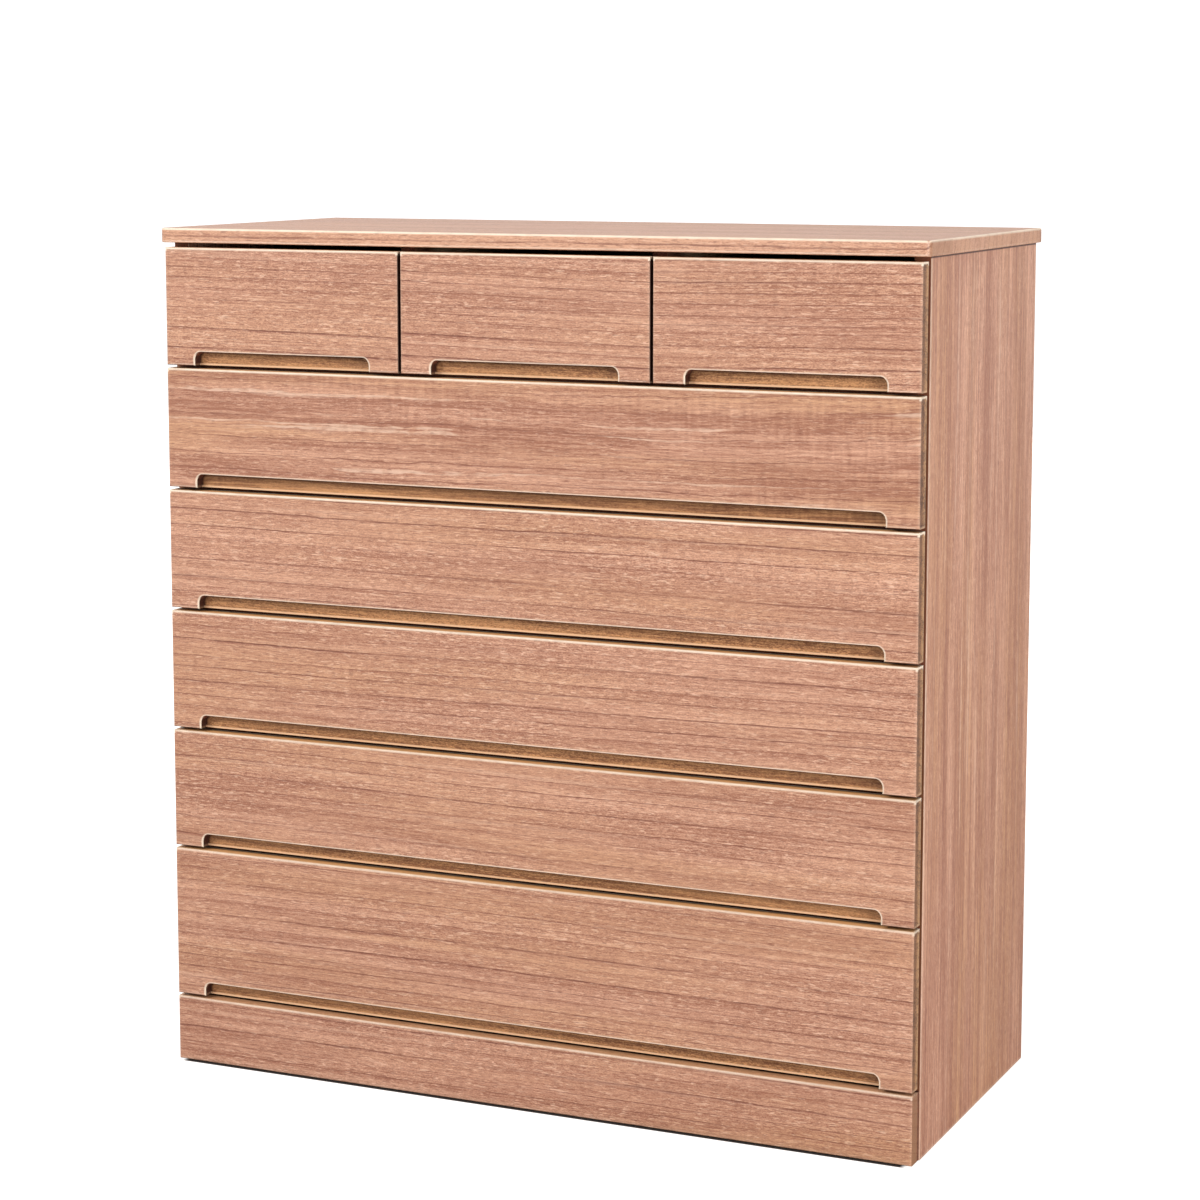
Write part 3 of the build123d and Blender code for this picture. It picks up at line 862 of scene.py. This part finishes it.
class CHEST_OT_drawer_fronts(bpy.types.Operator):
    """Give each drawer front its own board of finished paulownia"""

    bl_idname = "chest.drawer_fronts"
    bl_label = "Drawer Fronts"

    def execute(self, context):
        fine = face_look(spacing=12, wander=8, level=0.51, line=0.8, fleck=0.5, gold=0.3)
        front_board("small_drawer_left", 1.0, fine, lean=0.6)
        front_board("small_drawer_middle", 3.1, fine, lean=0.9)
        front_board("small_drawer_right", 5.3, fine, lean=-0.5)
        rippled = face_look(
            spacing=24, wander=26, level=0.44, tone=0.5, line=0.6,
            fleck=0.25, ripple=0.35, streak=0.4, bright=0.6, gold=0.7,
        )
        front_board("wide_drawer_1", 7.55, rippled, lean=-0.8)
        broad = face_look(spacing=21, level=0.52, line=0.85, fleck=0.5)
        front_board("wide_drawer_2", 11.4, broad, lean=0.4)
        closer = face_look(spacing=17, level=0.52, line=0.85, fleck=0.5)
        front_board("wide_drawer_3", 14.7, closer, lean=-0.3)
        darker = face_look(spacing=19, level=0.46, line=0.8, tone=0.45)
        front_board("wide_drawer_4", 18.3, darker, lean=0.3)
        narrow = face_look(spacing=14, level=0.51, line=0.75)
        front_board("deep_drawer", 22.1, narrow, lean=0.2)
        return {"FINISHED"}


class CHEST_OT_case_faces(bpy.types.Operator):
    """Give the top, the side panels and the plinth their finished paulownia"""

    bl_idname = "chest.case_faces"
    bl_label = "Top, Sides and Plinth"

    def execute(self, context):
        # The top's pale level is partly a painted sheen, the light its waxed face catches
        paler = face_look(spacing=18, level=0.92, tone=0.5, line=0.7, gold=0.3)
        face_board(
            "top_board", ALONG_X_FLAT, 27.0, paler, (0.5, 0.2), end_tone=0.55, lipping=80 * MM, wax=0.18
        )
        striped = face_look(
            spacing=36, wander=14, level=0.4, tone=0.5, line=0.4,
            fleck=0.25, ripple=0, streak=0.5, bright=0.35, gold=0.9,
        )
        face_board("left_side_panel", ALONG_Z, 31.0, striped, (0.3, 0.4), behind_fronts=True)
        face_board("right_side_panel", ALONG_Z, 35.5, striped, (0.3, 0.4), behind_fronts=True)
        narrow = face_look(spacing=15, level=0.47, line=0.75, gold=0.7)
        face_board("plinth_board", ALONG_X_UPRIGHT, 40.0, narrow, end_tone=0.85, gap_above=True)
        return {"FINISHED"}


class CHEST_OT_inner_boards(bpy.types.Operator):
    """Give the rails, runners, partitions and other inner boards bare paulownia"""

    bl_idname = "chest.inner_boards"
    bl_label = "Inner Boards"

    def execute(self, context):
        wood = context.scene.chest_bare_wood
        across = plain_board_material(
            "bare_across", wood, ALONG_X_FLAT, (0, 0, 0), behind_fronts=True
        )
        inward = plain_board_material(
            "bare_inward", wood, ALONG_Y_UPRIGHT, (3, 0, 0), behind_fronts=True
        )
        upright = plain_board_material("bare_upright", wood, ALONG_Z, (6, 0, 0))
        # Painted shade over the partitions' front part, seen in the gap under the top
        shade_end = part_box("left_partition")[0].y + PARTITION_SHADE
        partition = plain_board_material(
            "bare_partition", wood, ALONG_Y_UPRIGHT, (8, 0, 0), behind_fronts=True, shade_end=shade_end
        )
        rails = [f"front_rail_{number}" for number in (1, 2, 3, 4)]
        for node in ["bottom_board", "shelf_board", "plinth_rail"] + rails:
            give(node, across)
        for node in ("left_runners", "right_runners"):
            give(node, inward)
        for node in ("left_partition", "right_partition"):
            give(node, partition)
        for node in ("drawer_stops", "plinth_blocks"):
            give(node, upright)
        return {"FINISHED"}


class CHEST_OT_drawer_boxes(bpy.types.Operator):
    """Give the drawers' sides and backs bare paulownia, and their bottoms veneered panel"""

    bl_idname = "chest.drawer_boxes"
    bl_label = "Drawer Boxes"

    def execute(self, context):
        wood = context.scene.chest_bare_wood
        panel = context.scene.chest_panel_wood
        side = plain_board_material("drawer_side_wood", wood, ALONG_Y_UPRIGHT, (11, 0, 0))
        back = plain_board_material("drawer_back_wood", wood, ALONG_X_UPRIGHT, (15, 0, 0))
        bottom = plain_board_material("drawer_bottom_veneer", panel, ALONG_X_FLAT, (19, 0, 0), 0.3, 0.3)
        for drawer in DRAWERS:
            give(f"{drawer}_left_side", side)
            give(f"{drawer}_right_side", side)
            give(f"{drawer}_back", back)
            give(f"{drawer}_bottom", bottom)
        return {"FINISHED"}


class CHEST_OT_back_panel(bpy.types.Operator):
    """Give the back its veneered panel and nail it all round"""

    bl_idname = "chest.back_panel"
    bl_label = "Back Panel"

    def execute(self, context):
        panel = context.scene.chest_panel_wood
        sizes = context.scene.chest_fasteners
        give("back_panel", plain_board_material("back_veneer", panel, ALONG_Z, (23, 0, 0), 0.3, 0.3))
        low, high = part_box("back_panel")
        left = low.x + sizes.nail_inset
        right = high.x - sizes.nail_inset
        foot = low.z + sizes.nail_inset
        head = high.z - sizes.nail_inset
        shelf_low, shelf_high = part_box("shelf_board")
        rows = (foot, (shelf_low.z + shelf_high.z) / 2, head)
        columns = even_places(left, right, sizes.nail_spacing)
        level_nails = [(x, high.y, z) for z in rows for x in columns]
        rising = even_places(foot, head, sizes.nail_spacing)[1:-1]
        upright_nails = [(x, high.y, z) for x in (left, right) for z in rising]
        heads_piece(
            "back_panel_nails", "case", level_nails + upright_nails, (0, 1, 0),
            sizes.nail_diameter / 2, sizes.nail_rise, sizes.sunk, nail_material(sizes.nail_colour),
        )
        return {"FINISHED"}


class CHEST_OT_drawer_pegs(bpy.types.Operator):
    """Peg each drawer's rear corners and pin its bottom to its back from below"""

    bl_idname = "chest.drawer_pegs"
    bl_label = "Drawer Pegs"

    def execute(self, context):
        sizes = context.scene.chest_fasteners
        material = peg_material(sizes.peg_colour)
        radius = sizes.peg_diameter / 2
        for drawer in DRAWERS:
            back_low, back_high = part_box(f"{drawer}_back")
            peg_y = (back_low.y + back_high.y) / 2
            finger = (back_high.z - back_low.z) / FINGER_COUNT
            heights = [back_low.z + finger * (index + 0.5) for index in PEGGED_FINGERS]
            for hand, x, outward in (("left", back_low.x, -1), ("right", back_high.x, 1)):
                centres = [(x, peg_y, z) for z in heights]
                heads_piece(
                    f"{drawer}_{hand}_pegs", drawer, centres, (outward, 0, 0),
                    radius, sizes.peg_rise, sizes.sunk, material,
                )
            bottom_low, bottom_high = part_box(f"{drawer}_bottom")
            first = bottom_low.x + PEG_MARGIN
            last = bottom_high.x - PEG_MARGIN
            places = even_places(first, last, sizes.peg_spacing)
            heads_piece(
                f"{drawer}_bottom_pegs", drawer,
                [(x, peg_y, bottom_low.z) for x in places], (0, 0, -1),
                radius, sizes.peg_rise, sizes.sunk, material,
            )
        return {"FINISHED"}


def area_light(name, power, place, target, width, height):
    """Soft rectangular light aimed at a point."""
    light = bpy.data.lights.new(name, "AREA")
    light.shape = "RECTANGLE"
    light.size = width
    light.size_y = height
    light.energy = power
    lamp = bpy.data.objects.new(name, light)
    lamp.location = place
    lamp.rotation_euler = (Vector(target) - Vector(place)).to_track_quat("-Z", "Y").to_euler()
    bpy.context.scene.collection.objects.link(lamp)


class CHEST_OT_stage(bpy.types.Operator):
    """Set up the floor, the studio light and the camera"""

    bl_idname = "chest.stage"
    bl_label = "Stage"

    def execute(self, context):
        scene = context.scene
        studio = scene.chest_studio
        self.lay_floor(scene, studio)
        self.light_room(scene, studio)
        middle = (CAD_BOX[0] + CAD_BOX[1]) / 2
        area_light("Key Light", studio.key_power, KEY_PLACE, middle, *LIGHT_SIZE)
        area_light("Fill Light", studio.fill_power, FILL_PLACE, middle, *LIGHT_SIZE)
        self.set_camera(scene, studio)
        return {"FINISHED"}

    def lay_floor(self, scene, studio):
        """Plain pale floor under the chest, a painted contact shadow along the plinth's foot."""
        half = studio.floor_size / 2
        drop = -0.5 * MM
        mesh = bpy.data.meshes.new("floor")
        corners = [(-half, -half, drop), (half, -half, drop), (half, half, drop), (-half, half, drop)]
        mesh.from_pydata(corners, [], [(0, 1, 2, 3)])
        material, sheet, shader, place = new_material("pale_floor")
        shader.inputs["Roughness"].default_value = 0.8
        away = sheet.node("ShaderNodeVectorMath", [place], operation="LENGTH").outputs["Value"]
        seen = sheet.node("ShaderNodeLightPath").outputs["Is Camera Ray"]
        shader.inputs["Emission Color"].default_value = (1, 1, 1, 1)
        far = sheet.fade(away, 0.6, 2.4, 0.75, 1)
        # Painted contact shadow along the plinth's front foot, where the floor's glow is cut too
        low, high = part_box("plinth_board")
        spot = sheet.split(place)
        gap = sheet.math("ABSOLUTE", sheet.math("SUBTRACT", low.y, spot["Y"]))
        along_foot = sheet.fade(gap, *CONTACT_SHADOW_REACH)
        aside = sheet.math("SUBTRACT", spot["X"], (low.x + high.x) / 2)
        start, end = ((high.x - low.x) / 2 - distance for distance in CONTACT_SHADOW_ENDS)
        between = sheet.fade(sheet.math("ABSOLUTE", aside), start, end)
        contact = sheet.math("MULTIPLY", along_foot, between)
        floor_colour = sheet.mix(contact, opaque(studio.floor), opaque(studio.contact))
        sheet.feed(shader.inputs["Base Color"], floor_colour)
        glow = sheet.math("MULTIPLY", far, sheet.math("SUBTRACT", 1, contact))
        sheet.feed(shader.inputs["Emission Strength"], sheet.math("MULTIPLY", seen, glow))
        mesh.materials.append(material)
        floor = bpy.data.objects.new("floor", mesh)
        scene.collection.objects.link(floor)

    def light_room(self, scene, studio):
        """Even room light and a bright wall behind, where the camera sees plain white."""
        world = bpy.data.worlds.new("Studio")
        world.use_nodes = True
        world.node_tree.nodes.clear()
        sheet = NodeSheet(world.node_tree)
        seen = sheet.node("ShaderNodeLightPath").outputs["Is Camera Ray"]
        toward = sheet.split(sheet.node("ShaderNodeTexCoord").outputs["Generated"])
        wall = sheet.fade(toward["Y"], 0.1, 0.6, 0, studio.wall_light)
        wall = sheet.math("MULTIPLY", wall, sheet.fade(toward["Z"], 0.5, 0.1))
        overhead = studio.room_light + studio.ceiling_light
        ceiling = sheet.fade(toward["Z"], 0.2, 0.9, studio.room_light, overhead)
        strength = sheet.math("MAXIMUM", sheet.math("ADD", wall, ceiling), seen)
        background = sheet.node("ShaderNodeBackground", {"Color": (1, 1, 1, 1), "Strength": strength})
        output = sheet.node("ShaderNodeOutputWorld")
        sheet.feed(output.inputs["Surface"], background.outputs["Background"])
        scene.world = world
        scene.view_settings.view_transform = "Standard"

    def set_camera(self, scene, studio):
        """Camera at the front right, a little above the top."""
        data = bpy.data.cameras.new("Camera")
        data.lens = studio.lens
        data.sensor_width = 36
        data.shift_y = studio.camera_shift
        data.dof.use_dof = False
        camera = bpy.data.objects.new("Camera", data)
        camera.location = studio.camera_place
        camera.rotation_euler = (math.radians(90) - studio.camera_dip, 0, studio.camera_turn)
        scene.collection.objects.link(camera)
        scene.camera = camera


OPERATORS = [
    CHEST_OT_drawer_fronts,
    CHEST_OT_case_faces,
    CHEST_OT_inner_boards,
    CHEST_OT_drawer_boxes,
    CHEST_OT_back_panel,
    CHEST_OT_drawer_pegs,
    CHEST_OT_stage,
]


class CHEST_PT_sidebar(bpy.types.Panel):
    """Steps of the chest's finish"""

    bl_label = "Paulownia Chest"
    bl_idname = "CHEST_PT_sidebar"
    bl_space_type = "VIEW_3D"
    bl_region_type = "UI"
    bl_category = "Chest"

    def draw(self, context):
        for operator in OPERATORS:
            self.layout.operator(operator.bl_idname)


SETTINGS = {
    "chest_face_wood": FaceWoodSettings,
    "chest_bare_wood": BareWoodSettings,
    "chest_panel_wood": PanelWoodSettings,
    "chest_fasteners": FastenerSettings,
    "chest_studio": StudioSettings,
}


def register():
    """Register the settings, the operators and the panel."""
    for name, group in SETTINGS.items():
        bpy.utils.register_class(group)
        setattr(bpy.types.Scene, name, bpy.props.PointerProperty(type=group))
    for operator in OPERATORS:
        bpy.utils.register_class(operator)
    bpy.utils.register_class(CHEST_PT_sidebar)


def unregister():
    """Take the panel, the operators and the settings out again."""
    bpy.utils.unregister_class(CHEST_PT_sidebar)
    for operator in reversed(OPERATORS):
        bpy.utils.unregister_class(operator)
    for name, group in reversed(SETTINGS.items()):
        delattr(bpy.types.Scene, name)
        bpy.utils.unregister_class(group)


def main():
    """Run every step in order."""
    register()
    bpy.ops.chest.drawer_fronts()
    bpy.ops.chest.case_faces()
    bpy.ops.chest.inner_boards()
    bpy.ops.chest.drawer_boxes()
    bpy.ops.chest.back_panel()
    bpy.ops.chest.drawer_pegs()
    bpy.ops.chest.stage()


if __name__ == "__main__":
    main()
